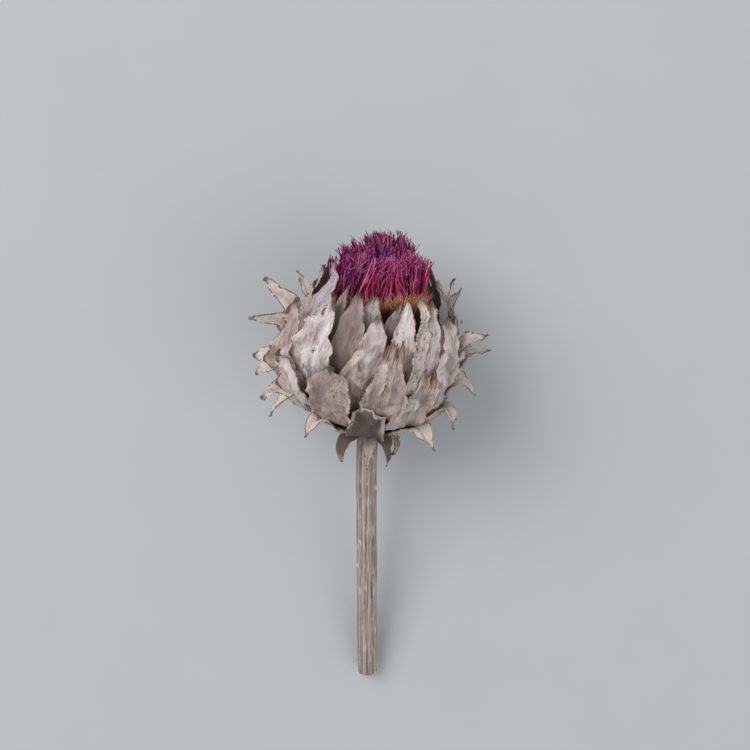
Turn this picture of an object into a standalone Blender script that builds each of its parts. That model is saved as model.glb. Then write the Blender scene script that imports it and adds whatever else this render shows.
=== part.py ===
"""A dried artichoke flower head on its cut stem, lying on a flat surface.

The flower is modelled in its own frame: +Z runs up the head's axis, height 0 is where the stem meets the
head, and azimuth 0 is the front, -Y, from where azimuths grow towards +X. Two empties then lay it down, head
towards +Y and front upwards, so that it rests on two bract tips and on the edge of the cut stem.

Every bract is a blade that follows the profile of its ring, from its foot on the receptacle up over the belly
of the head, and a free tip, the spine, that leaves the profile and points outwards. The rings' profiles are
nested, so that no bract touches another.
"""

import math
import random
from dataclasses import dataclass

import bmesh
import bpy
from mathutils import Matrix, Vector
from mathutils.geometry import interpolate_bezier

MM = 0.001

# How the flower lies
HEAD_SLOPE = math.radians(14.8)  # rise of the head's axis above the surface
HEAD_YAW = math.radians(-4.4)  # turn of the head's axis from +Y
HEAD_ROLL = math.radians(1.21)  # turn of the flower about its own axis

# Stem
STEM_RADIUS = 5.2 * MM
STEM_LENGTH = 138 * MM
STEM_RIBS = 10
RIB_DEPTH = 0.35 * MM
NECK_LENGTH = 30 * MM  # the stretch below the head over which the stem bends
NECK_SIDE_BEND = math.radians(4.4)
STEM_STEP = 12 * MM

# Receptacle: the swollen top of the stem that carries the bracts and the florets (radius, height)
RECEPTACLE_PROFILE = [
    (5.5, -5), (6.6, -2.4), (9, 0.7), (12.7, 3.8), (16, 6.7), (19, 9.4), (21.3, 12.4), (21.9, 14.6),
]
RECEPTACLE_TOP = 16.4 * MM
RECEPTACLE_TOP_RADIUS = 21.2 * MM

# Florets and the pappus bristles that stand around their feet
TUFT_PROFILE = [(20.5, 16.7), (21.6, 45), (21.8, 73), (23.6, 82)]  # (radius, height) up the side of the tuft
TUFT_CELLS = 10  # clumps of florets across the tuft
CLUMP_GAP = 0.7 * MM
CLUMP_LENGTHS = (5 * MM, 13 * MM)  # of the free ends, over most of the tuft and at its back
CLUMP_VARIES = (0.7, 1.2)  # shortest and longest clump, as a share of those lengths
CLUMP_TAPER = 0.45  # width of a clump's end as a share of its foot's
CLUMP_LEAN = 0.16  # outward lean of the clumps at the edge, as a share of their length
PAPPUS_RADII = (22.1 * MM, 23.5 * MM)
PAPPUS_HEIGHTS = (16.7 * MM, 68 * MM)
PAPPUS_TEETH = 30
TOOTH_HEIGHT = 5 * MM

# Bracts
BRACT_THICKNESS = 0.9 * MM
TIP_THICKNESS_SHARE = 0.5
TWIST = math.radians(12)  # turn about the axis of a blade that runs the whole height of the head
HEAD_HEIGHT = 75 * MM
BULGE = 0.12  # share by which the belly of the head stands out farther on its -X side
BULGE_HEIGHTS = (12 * MM, 80 * MM)
BEND = 7 * MM  # length over which a blade turns into its spine
CROWDING = 0.46  # most half width of a blade, as a share of the distance to its neighbour in the ring
SPINE_ROLL = 35  # usual turn of the spines at the sides about their own length, in degrees
SPINE_FOLD = 0.45  # how far the edges of a spine fold up, as a share of its half width
ACROSS = 4  # faces across a bract
SEED = 7


@dataclass
class Ring:
    """Like bracts that stand around the axis at one level, in millimetres and degrees."""

    name: str
    azimuths: list
    profile: list  # (radius, height) of the middle of a blade, from its foot
    reach: float  # share of the profile that a blade follows before its spine leaves it
    width: float  # of a blade at its widest
    spine: float  # length of the free tip
    rise: float  # angle of the free tip above the plane square to the axis
    faces: int  # along a bract


RINGS = [
    Ring(
        "stem_bract", [-54, 3, 44, 110, -120],
        [(7.4, -1.8), (11, -2.2), (14.2, -4.2), (15.4, -8)],
        reach=0.9, width=11, spine=8, rise=-98, faces=5,
    ),
    Ring(
        "lowest_bract", [-96, -46, -6, 39, 86, 136, -160],
        [(10.1, 0.4), (14, 1.8), (20, 4.1), (26.5, 7.2), (32.5, 11.8), (36.9, 17.4)],
        reach=0.74, width=19, spine=15, rise=-30, faces=7,
    ),
    Ring(
        "low_bract", [-104, -68, -34, 24, 62, 98, 137, 177, -143],
        [(13.6, 3.4), (18.7, 5.4), (25, 8.4), (31.5, 13.3), (36.7, 19.7), (40.6, 26.5), (43.3, 33.3),
         (44.9, 40), (45, 46)],
        reach=0.58, width=22, spine=17, rise=2, faces=8,
    ),
    Ring(
        "belly_bract", [-104, -64, 5, 46, 90, 118, 147, -159],
        [(16.6, 6.1), (21.6, 8.3), (27.7, 12.3), (33.6, 18.4), (38.3, 26), (41.3, 33.6), (43, 41), (43, 48),
         (42, 54), (40.2, 60), (37.4, 66), (34.6, 72)],
        reach=0.54, width=22, spine=17, rise=18, faces=8,
    ),
    Ring(
        "shoulder_bract", [-78, -50, -20, 22, 72, 111, 150, -168, -121],
        [(19.6, 8.7), (24.1, 11.6), (29.6, 16.9), (34.6, 24.3), (38.4, 33), (40.8, 42), (41, 50), (39.6, 57),
         (37, 63.5), (34, 69.5), (31.4, 75.5)],
        reach=0.66, width=20, spine=18, rise=42, faces=8,
    ),
    Ring(
        "upper_bract", [-104, -67, -26, 7, 37, 86, 124, 160, -164, -141],
        [(22.3, 12.2), (26.1, 16.5), (30.3, 23.2), (34, 31.6), (36.8, 40), (38.2, 48.5), (37.6, 56),
         (35.2, 63), (32.2, 69.5), (29.6, 76)],
        reach=0.84, width=16, spine=12, rise=88, faces=8,
    ),
    Ring(
        "inner_bract", [-88, -45, -18, 6, 66, 108, 150, -168, -128],
        [(23, 14.8), (26, 20), (29.4, 27.2), (32.2, 36), (33.6, 45), (33.8, 54), (32.2, 62), (29.8, 69),
         (27.6, 75), (26.4, 81)],
        reach=0.9, width=13, spine=6, rise=98, faces=7,
    ),
]

# The bracts that differ most from their ring's
SHAPED = {
    "stem_bract_1": dict(outline="hanging", reach=0.8, width=12, spine=9, rise=-90, swing=14),
    "stem_bract_2": dict(outline="hanging", reach=0.55, width=10, spine=13, rise=-92, swing=0),
    "stem_bract_3": dict(outline="hanging", reach=0.8, width=11, spine=9, rise=-90, swing=-8),
    "lowest_bract_1": dict(reach=0.8, spine=24, rise=-46),
    "lowest_bract_2": dict(reach=0.72, width=16, spine=14, rise=-48),
    "lowest_bract_3": dict(outline="shield", reach=0.83, width=19, spine=13, rise=44, swing=-3),
    "lowest_bract_4": dict(reach=0.66, width=22, spine=18, rise=-27),
    "lowest_bract_7": dict(spine=12, rise=-55),
    "low_bract_1": dict(reach=0.56, spine=20, rise=-14),
    "low_bract_2": dict(reach=0.54, width=20, spine=20, rise=-6),
    "low_bract_3": dict(outline="shield", reach=0.8, width=22, spine=10, rise=80, lean=5),
    "low_bract_4": dict(reach=0.82, width=21, spine=9, rise=84, lean=3),
    "low_bract_5": dict(reach=0.46, width=18, spine=15, rise=-55),
    "low_bract_6": dict(roll=55, reach=0.54, spine=17, rise=-28),
    "low_bract_8": dict(spine=11, rise=70),
    "belly_bract_1": dict(reach=0.4, spine=20, rise=-8),
    "belly_bract_2": dict(outline="upright", peel=0, reach=0.54, width=19, spine=12, rise=76),
    "belly_bract_3": dict(reach=0.69, width=20, spine=9, rise=88, lean=-6),
    "belly_bract_4": dict(reach=0.78, width=18, spine=9, rise=108, lean=0),
    "belly_bract_5": dict(roll=58, reach=0.5, spine=17, rise=24),
    "belly_bract_7": dict(reach=0.54, spine=19, rise=16, swing=0),
    "belly_bract_8": dict(reach=0.54, spine=19, rise=16, swing=0),
    "shoulder_bract_1": dict(peel=2, reach=0.6, width=17, spine=20, rise=92, lean=0, swing=0),
    "shoulder_bract_2": dict(reach=0.8, width=23, spine=11, rise=104, lean=6),
    "shoulder_bract_3": dict(reach=0.8, width=20, spine=12, rise=106, lean=12),
    "shoulder_bract_4": dict(reach=0.9, width=9, spine=7, rise=108, lean=5),
    "shoulder_bract_5": dict(roll=62, reach=0.55, spine=16, rise=29),
    "shoulder_bract_9": dict(reach=0.62, spine=25, rise=34),
    "upper_bract_1": dict(reach=0.52, spine=19, rise=10),
    "upper_bract_2": dict(reach=0.95, width=16, spine=16, rise=98, lean=1, swing=0),
    "upper_bract_3": dict(reach=0.86, width=17, spine=9, rise=103, lean=-3),
    "upper_bract_4": dict(reach=0.82, width=15, spine=9, rise=103, lean=3),
    "upper_bract_5": dict(reach=0.8, width=10, spine=9, rise=104, lean=-2),
    "upper_bract_10": dict(reach=0.6, spine=22, rise=45),
    "inner_bract_2": dict(reach=0.86, width=10, lean=0),
    "inner_bract_3": dict(reach=0.8, width=12, lean=0),
    "inner_bract_4": dict(reach=0.76, width=12, lean=0),
}

# Outlines of a bract: (share of the blade's length, share of its greatest half width), then the same along
# the spine
UPRIGHT = 60  # least rise of a spine that stands up along the head, in degrees
OUTLINES = {
    "spreading": (
        [(0, 0.55), (0.3, 0.85), (0.65, 1.0), (0.85, 0.86), (1.0, 0.62)],
        [(0, 0.62), (0.4, 0.42), (1.0, 0.03)],
    ),
    "upright": (
        [(0, 0.55), (0.22, 0.86), (0.45, 1.0), (0.65, 0.9), (0.82, 0.68), (1.0, 0.44)],
        [(0, 0.44), (0.5, 0.26), (1.0, 0.03)],
    ),
    "shield": (
        [(0, 0.5), (0.3, 0.76), (0.6, 1.0), (1.0, 0.96)],
        [(0, 0.96), (0.3, 0.74), (0.6, 0.4), (1.0, 0.04)],
    ),
    "hanging": (
        [(0, 0.9), (0.5, 0.9), (1.0, 0.66)],
        [(0, 0.66), (1.0, 0.04)],
    ),
}


@dataclass
class Bract:
    """One bract, in metres and radians."""

    name: str
    ring: Ring
    azimuth: float
    room: float  # angle to the nearer neighbour in its ring
    reach: float
    half_width: float
    spine: float
    rise: float
    outline: str
    roll: float  # turn of the spine about its own length, its face to the front, where the bract is at a side
    peel: float  # how far the margin that turns to the back stands off the head
    lean: float  # turn about the axis over the height of the head, beyond the common twist
    swing: float  # sideways turn of the spine


def bract_plan():
    """Every bract of the flower, outermost ring first, each a little different from its neighbours."""
    chance = random.Random(SEED)
    plan = []
    for ring in RINGS:
        around = sorted(ring.azimuths)
        gaps = [(b - a) % 360 for a, b in zip(around, around[1:] + around[:1])]
        for i, azimuth in enumerate(ring.azimuths):
            name = f"{ring.name}_{i + 1}"
            place = around.index(azimuth)
            vary = {
                "reach": ring.reach * chance.uniform(0.94, 1.05),
                "width": ring.width * chance.uniform(0.92, 1.04),
                "spine": ring.spine * chance.uniform(0.85, 1.12),
                "rise": ring.rise + chance.uniform(-11, 11),
                "lean": chance.uniform(-3, 3),
                "swing": chance.uniform(-12, 12),
            }
            vary.update(SHAPED.get(name, {}))
            plan.append(
                Bract(
                    name=name,
                    ring=ring,
                    azimuth=math.radians(azimuth),
                    room=math.radians(min(gaps[place], gaps[place - 1])),
                    reach=vary["reach"],
                    half_width=vary["width"] / 2 * MM,
                    spine=vary["spine"] * MM,
                    rise=math.radians(vary["rise"]),
                    outline=vary.get("outline", "upright" if vary["rise"] >= UPRIGHT else "spreading"),
                    roll=math.radians(vary.get("roll", SPINE_ROLL)),
                    peel=vary.get("peel", 0) * MM,
                    lean=math.radians(vary["lean"]),
                    swing=math.radians(vary["swing"]),
                )
            )
    return plan


def between(points, x):
    """The value at x on the straight lines through (x, value) points."""
    for (x0, y0), (x1, y1) in zip(points, points[1:]):
        if x <= x1:
            return y0 + (y1 - y0) * max(0, x - x0) / (x1 - x0)
    return points[-1][1]


def smooth_line(points, per_span=12):
    """Closely spaced points on a smooth curve through (radius, height) points given in millimetres."""
    knots = [Vector((r, h, 0)) * MM for r, h in points]
    knots = [2 * knots[0] - knots[1]] + knots + [2 * knots[-1] - knots[-2]]
    line = []
    for before, start, end, after in zip(knots, knots[1:], knots[2:], knots[3:]):
        handles = start + (end - before) / 6, end - (after - start) / 6
        line += interpolate_bezier(start, *handles, end, per_span)[:-1]
    return line + [knots[-2]]


def along_line(line, distance):
    """(point, heading) at a distance along a line of close points, the heading measured from +radius."""
    for start, end in zip(line, line[1:]):
        step = (end - start).length
        if distance <= step or end is line[-1]:
            return start.lerp(end, distance / step), math.atan2(end.y - start.y, end.x - start.x)
        distance -= step


def length_of(line):
    return sum((end - start).length for start, end in zip(line, line[1:]))


class CentreLine:
    """The middle of a bract: the ring's profile up to where the spine leaves it, then the spine."""

    MARCH = 0.5 * MM

    def __init__(self, bract):
        self.profile = smooth_line(bract.ring.profile)
        self.blade = length_of(self.profile) * bract.reach
        self.length = self.blade + bract.spine
        point, heading = along_line(self.profile, self.blade)
        self.tip = [(point, heading)]
        steps = max(1, round(bract.spine / self.MARCH))
        for i in range(steps):
            turned = min(1, (i + 1) * bract.spine / steps / BEND)
            now = heading + (bract.rise - heading) * turned * turned * (3 - 2 * turned)
            point = point + Vector((math.cos(now), math.sin(now), 0)) * (bract.spine / steps)
            self.tip.append((point, now))

    def at(self, distance):
        """(radius, height, heading) at a distance from the foot."""
        if distance <= self.blade:
            point, heading = along_line(self.profile, distance)
        else:
            share = (distance - self.blade) / (self.length - self.blade)
            point, heading = self.tip[min(len(self.tip) - 1, round(share * (len(self.tip) - 1)))]
        return point.x, point.y, heading


def half_width_at(bract, line, distance, radius):
    """Half the width of a bract at a distance from its foot."""
    if distance <= line.blade:
        share = between(OUTLINES[bract.outline][0], distance / line.blade)
    else:
        share = between(OUTLINES[bract.outline][1], (distance - line.blade) / bract.spine)
    return min(bract.half_width * share, CROWDING * bract.room * radius)


def bulge_at(azimuth, height):
    """How many times as far from the axis a point stands, for the fuller side of the head."""
    low, high = BULGE_HEIGHTS
    up = min(1, max(0, (height - low) / (high - low)))
    return 1 + BULGE * max(0, -math.sin(azimuth)) * math.sin(math.pi * up) ** 2


def bract_point(bract, line, across, along):
    """The middle of the bract's thickness, across from -1 to 1 and along from 0, the foot, to 1, the tip."""
    distance = along * line.length
    radius, height, heading = line.at(distance)
    side = across * half_width_at(bract, line, distance, radius)
    free = max(0, distance - line.blade)
    azimuth = bract.azimuth + (TWIST + bract.lean) * height / HEAD_HEIGHT
    # A spine folds up along its middle like a boat, towards the side of the bract that faces the axis.
    bent = min(1, free / BEND)
    roll = bract.roll if bract.outline == "spreading" else 0
    roll *= math.sin(azimuth) * bent
    fold = SPINE_FOLD * abs(side) * bent + side * math.sin(roll)
    side *= math.cos(roll)
    # The margin that turns to the back may have peeled off the head.
    fold -= bract.peel * max(0, across * math.copysign(1, azimuth)) ** 1.5 * min(1, distance / line.blade)
    radius -= fold * math.sin(heading)
    height += fold * math.cos(heading)
    side += free * math.tan(bract.swing)
    turned = azimuth + side / radius
    radius *= bulge_at(turned, height)
    return Vector((radius * math.sin(turned), -radius * math.cos(turned), height))


def new_object(name, mesh_maker, material, parent):
    """An object whose mesh is what mesh_maker leaves in a new bmesh."""
    mesh = bpy.data.meshes.new(name)
    work = bmesh.new()
    mesh_maker(work)
    bmesh.ops.recalc_face_normals(work, faces=work.faces)
    work.to_mesh(mesh)
    work.free()
    mesh.materials.append(material)
    mesh.shade_smooth()
    mesh.set_sharp_from_angle(angle=math.radians(50))
    obj = bpy.data.objects.new(name, mesh)
    bpy.context.scene.collection.objects.link(obj)
    obj.parent = parent
    return obj


def build_bract(bract, material, parent):
    """A bract: a sheet laid on its ring's profile, thickened, and thinner towards its tip."""
    line = CentreLine(bract)
    rows = bract.ring.faces

    def sheet(work):
        bmesh.ops.create_grid(work, x_segments=ACROSS, y_segments=rows, size=1)
        for vert in work.verts:
            vert.co = bract_point(bract, line, vert.co.x, (vert.co.y + 1) / 2)

    obj = new_object(bract.name, sheet, material, parent)
    thin = obj.vertex_groups.new(name="thickness")
    per_row = ACROSS + 1
    for index in range(len(obj.data.vertices)):
        along = (index // per_row) / rows
        thin.add([index], 1 - (1 - TIP_THICKNESS_SHARE) * along, "REPLACE")
    solidify = obj.modifiers.new("Thickness", "SOLIDIFY")
    solidify.thickness = BRACT_THICKNESS
    solidify.offset = 0
    solidify.vertex_group = thin.name
    return obj


def stem_centre(depth):
    """(point, matrix that turns +Z to the stem's direction) at a depth below the head along the stem."""
    step = 1 * MM
    point = Vector((0, 0, 0))
    walked = 0.0
    while True:
        bent = min(1, walked / NECK_LENGTH)
        turn = Matrix.Rotation(-NECK_SIDE_BEND * bent, 3, "Y")
        if walked >= depth:
            return point, turn
        move = min(step, depth - walked)
        point = point - turn @ Vector((0, 0, 1)) * move
        walked += move


def build_stem(material, parent):
    """The ribbed stem and the receptacle that it swells into, one piece as it grew."""
    sides = 2 * STEM_RIBS
    upright = Matrix.Identity(3)

    def ring_of_points(work, centre, turn, radius, rib):
        made = bmesh.ops.create_circle(work, segments=sides, radius=1)["verts"]
        for i, vert in enumerate(made):
            r = radius - (rib if i % 2 else 0)
            angle = 2 * math.pi * i / sides
            vert.co = centre + turn @ Vector((r * math.cos(angle), r * math.sin(angle), 0))
        return made

    def body(work):
        rings = []
        neck_top = RECEPTACLE_PROFILE[0][1] * MM
        stops = max(2, round((STEM_LENGTH + neck_top) / STEM_STEP))
        for i in range(stops + 1):
            depth = STEM_LENGTH + (-neck_top - STEM_LENGTH) * i / stops
            centre, turn = stem_centre(depth)
            rings.append(ring_of_points(work, centre, turn, STEM_RADIUS, RIB_DEPTH))
        for radius, height in RECEPTACLE_PROFILE[1:]:
            rings.append(ring_of_points(work, Vector((0, 0, height * MM)), upright, radius * MM, 0))
        rings.append(ring_of_points(work, Vector((0, 0, RECEPTACLE_TOP)), upright, RECEPTACLE_TOP_RADIUS, 0))
        for lower, upper in zip(rings, rings[1:]):
            for i in range(sides):
                j = (i + 1) % sides
                work.faces.new((lower[i], lower[j], upper[j], upper[i]))
        work.faces.new(rings[0])
        work.faces.new(rings[-1])

    return new_object("stem_and_receptacle", body, material, parent)


def disc_place(x, y):
    """A point of the square from -1 to 1 moved onto the disc of radius 1, so that the cells fill it."""
    return x * math.sqrt(1 - y * y / 2), y * math.sqrt(1 - x * x / 2)


def build_floret_tuft(material, parent):
    """The packed florets as one brush: a core that stands on the receptacle, and free ends on top."""
    chance = random.Random(SEED + 1)
    heights = [h * MM for _, h in TUFT_PROFILE]
    radii = [r * MM for r, _ in TUFT_PROFILE]

    def florets(work):
        core = build_core(work, radii, heights)
        for cell in core:
            centre = cell.calc_center_median()
            back = max(0, centre.y) / radii[-1]
            length = CLUMP_LENGTHS[0] + (CLUMP_LENGTHS[1] - CLUMP_LENGTHS[0]) * back ** 2
            length *= chance.uniform(*CLUMP_VARIES)
            bmesh.ops.inset_individual(work, faces=[cell], thickness=CLUMP_GAP / 2)
            tip = bmesh.ops.extrude_discrete_faces(work, faces=[cell])["faces"][0]
            lean = Vector((centre.x, centre.y, 0)) / radii[-1] * CLUMP_LEAN * length
            for vert in tip.verts:
                vert.co = centre + (vert.co - centre) * CLUMP_TAPER + lean + Vector((0, 0, length))

    return new_object("floret_tuft", florets, material, parent)


def build_core(work, radii, heights):
    """A round pillar under a top of square cells. Returns the cells of the top."""
    bmesh.ops.create_grid(work, x_segments=TUFT_CELLS, y_segments=TUFT_CELLS, size=1)
    for vert in work.verts:
        x, y = disc_place(vert.co.x, vert.co.y)
        vert.co = (x * radii[-1], y * radii[-1], heights[-1])
    cells = list(work.faces)
    rim = [edge for edge in work.edges if edge.is_boundary]
    for i in range(len(radii) - 2, -1, -1):
        made = bmesh.ops.extrude_edge_only(work, edges=rim)["geom"]
        rim = [g for g in made if isinstance(g, bmesh.types.BMEdge)]
        for vert in {v for edge in rim for v in edge.verts}:
            flat = vert.co.xy * (radii[i] / radii[i + 1])
            vert.co = (flat.x, flat.y, heights[i])
    bmesh.ops.contextual_create(work, geom=rim)
    return cells


def build_pappus(material, parent):
    """The bristles around the feet of the florets: a thin standing collar with a toothed rim."""
    inner, outer = PAPPUS_RADII
    low, high = PAPPUS_HEIGHTS

    def collar(work):
        sides = 2 * PAPPUS_TEETH
        corners = [(inner, low), (outer, low), (outer, high), (inner, high)]
        section = [work.verts.new((r, 0, h)) for r, h in corners]
        edges = [work.edges.new((section[i], section[(i + 1) % 4])) for i in range(4)]
        full = 2 * math.pi
        bmesh.ops.spin(
            work, geom=edges, cent=(0, 0, 0), axis=(0, 0, 1), angle=full, steps=sides, use_merge=True
        )
        for vert in work.verts:
            spoke = round(math.atan2(vert.co.y, vert.co.x) / full * sides)
            if vert.co.z > (low + high) / 2 and spoke % 2:
                vert.co.z += TOOTH_HEIGHT

    return new_object("pappus_collar", collar, material, parent)


def plain_material(name, colour, roughness):
    material = bpy.data.materials.new(name)
    material.use_nodes = True
    shader = material.node_tree.nodes["Principled BSDF"]
    shader.inputs["Base Color"].default_value = (*colour, 1)
    shader.inputs["Roughness"].default_value = roughness
    shader.inputs["Metallic"].default_value = 0
    return material


def empty(name, parent=None):
    obj = bpy.data.objects.new(name, None)
    bpy.context.scene.collection.objects.link(obj)
    obj.parent = parent
    return obj


def lowest_and_highest(objects):
    """The corners of the box around the objects, in the world."""
    bpy.context.view_layer.update()
    graph = bpy.context.evaluated_depsgraph_get()
    points = []
    for obj in objects:
        seen = obj.evaluated_get(graph)
        points += [seen.matrix_world @ vert.co for vert in seen.data.vertices]
    return [Vector(pick(p[k] for p in points) for k in range(3)) for pick in (min, max)]


def main():
    for obj in list(bpy.data.objects):
        bpy.data.objects.remove(obj)

    pale = plain_material("dry_bract", (0.56, 0.51, 0.49), 0.8)
    brown = plain_material("inner_bract", (0.47, 0.40, 0.35), 0.8)
    stalk = plain_material("dry_stem", (0.46, 0.42, 0.36), 0.8)
    magenta = plain_material("floret", (0.33, 0.03, 0.14), 0.75)
    ochre = plain_material("pappus", (0.50, 0.27, 0.09), 0.85)

    placed = empty("place_on_surface")
    laid = empty("lay_down", placed)
    laid.rotation_mode = "QUATERNION"
    slope = Matrix.Rotation(HEAD_SLOPE - math.pi / 2, 4, "X")
    turn = Matrix.Rotation(HEAD_YAW, 4, "Z") @ slope @ Matrix.Rotation(HEAD_ROLL, 4, "Z")
    laid.rotation_quaternion = turn.to_quaternion()

    parts = [build_stem(stalk, laid), build_floret_tuft(magenta, laid), build_pappus(ochre, laid)]
    for bract in bract_plan():
        inner = bract.ring is RINGS[-1]
        parts.append(build_bract(bract, brown if inner else pale, laid))

    low, high = lowest_and_highest(parts)
    placed.location = (-(low.x + high.x) / 2, -(low.y + high.y) / 2, -low.z)


main()
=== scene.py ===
"""Dresses a dried artichoke flower head that lies on its cut stem.

The flower has its own frame: +Z runs up the axis of the head, height 0 is where the stem meets the head, and
azimuth 0 is the front, -Y, from where azimuths grow towards +X. Everything is modelled in that frame and then
laid down as the solids lie.
"""

import math
import random
from bisect import bisect_right
from dataclasses import dataclass

import bmesh
import bpy
from mathutils import Matrix, Vector, noise
from mathutils.geometry import interpolate_bezier


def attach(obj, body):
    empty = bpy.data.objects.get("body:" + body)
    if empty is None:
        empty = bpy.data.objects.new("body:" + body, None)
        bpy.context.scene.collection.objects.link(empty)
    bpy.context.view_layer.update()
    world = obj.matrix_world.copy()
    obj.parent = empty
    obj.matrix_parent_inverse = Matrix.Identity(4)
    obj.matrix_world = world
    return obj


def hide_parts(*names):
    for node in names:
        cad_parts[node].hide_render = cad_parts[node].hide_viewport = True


bl_info = {
    "name": "Dried artichoke flower",
    "version": (1, 0, 0),
    "blender": (4, 5, 0),
    "location": "3D View > Sidebar > Flower",
    "description": "Bracts, florets, pappus, stem and studio of a dried artichoke flower head",
    "category": "Add Mesh",
}

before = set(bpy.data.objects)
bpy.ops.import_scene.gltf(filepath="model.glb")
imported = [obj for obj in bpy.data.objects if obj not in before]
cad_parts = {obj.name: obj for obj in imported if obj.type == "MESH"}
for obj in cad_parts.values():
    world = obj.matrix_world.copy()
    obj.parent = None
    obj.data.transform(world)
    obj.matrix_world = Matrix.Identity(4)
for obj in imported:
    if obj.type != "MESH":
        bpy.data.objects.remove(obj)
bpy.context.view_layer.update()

MM = 0.001

# How the flower lies
HEAD_SLOPE = math.radians(14.8)
HEAD_YAW = math.radians(-4.4)
HEAD_ROLL = math.radians(1.21)
RECEPTACLE_TOP = 16.4 * MM

# How bracts stand. CROWDING and SPINE_FOLD are less in the solids, with narrower feet and flatter spines.
TWIST = math.radians(12)  # how far round a bract leans from the foot of the head to its top
HEAD_HEIGHT = 75 * MM
BULGE = 0.12  # how much fuller the head is on its left side
BULGE_HEIGHTS = (12 * MM, 80 * MM)
BEND = 7 * MM  # length over which a blade turns into its spine
CROWDING = 0.57  # greatest half width of a bract, as a share of the way to its neighbour
SPINE_ROLL = 35  # usual turn of the spines at the sides about their own length, in degrees
SPINE_FOLD = 0.6
SEED = 7


@dataclass
class Ring:
    """Like bracts that stand around the axis at one level, in millimetres and degrees."""

    name: str
    azimuths: list
    profile: list  # (radius, height) of the middle of a blade, from its foot
    reach: float  # share of the profile that a blade follows before its spine leaves it
    width: float
    spine: float
    rise: float


RINGS = [
    Ring(
        "stem_bract", [-54, 3, 44, 110, -120],
        [(7.4, -1.8), (11, -2.2), (14.2, -4.2), (15.4, -8)],
        reach=0.9, width=11, spine=8, rise=-98,
    ),
    Ring(
        "lowest_bract", [-96, -46, -6, 39, 86, 136, -160],
        [(10.1, 0.4), (14, 1.8), (20, 4.1), (26.5, 7.2), (32.5, 11.8), (36.9, 17.4)],
        reach=0.74, width=19, spine=15, rise=-30,
    ),
    Ring(
        "low_bract", [-104, -68, -34, 24, 62, 98, 137, 177, -143],
        [(13.6, 3.4), (18.7, 5.4), (25, 8.4), (31.5, 13.3), (36.7, 19.7), (40.6, 26.5), (43.3, 33.3),
         (44.9, 40), (45, 46)],
        reach=0.58, width=22, spine=17, rise=2,
    ),
    Ring(
        "belly_bract", [-104, -64, 5, 46, 90, 118, 147, -159],
        [(16.6, 6.1), (21.6, 8.3), (27.7, 12.3), (33.6, 18.4), (38.3, 26), (41.3, 33.6), (43, 41), (43, 48),
         (42, 54), (40.2, 60), (37.4, 66), (34.6, 72)],
        reach=0.54, width=22, spine=17, rise=18,
    ),
    Ring(
        "shoulder_bract", [-78, -50, -20, 22, 72, 111, 150, -168, -121],
        [(19.6, 8.7), (24.1, 11.6), (29.6, 16.9), (34.6, 24.3), (38.4, 33), (40.8, 42), (41, 50), (39.6, 57),
         (37, 63.5), (34, 69.5), (31.4, 75.5)],
        reach=0.66, width=20, spine=18, rise=42,
    ),
    Ring(
        "upper_bract", [-104, -67, -26, 7, 37, 86, 124, 160, -164, -141],
        [(22.3, 12.2), (26.1, 16.5), (30.3, 23.2), (34, 31.6), (36.8, 40), (38.2, 48.5), (37.6, 56),
         (35.2, 63), (32.2, 69.5), (29.6, 76)],
        reach=0.84, width=16, spine=12, rise=88,
    ),
    Ring(
        "inner_bract", [-88, -45, -18, 6, 66, 108, 150, -168, -128],
        [(23, 14.8), (26, 20), (29.4, 27.2), (32.2, 36), (33.6, 45), (33.8, 54), (32.2, 62), (29.8, 69),
         (27.6, 75), (26.4, 81)],
        reach=0.9, width=13, spine=6, rise=98,
    ),
]

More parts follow.
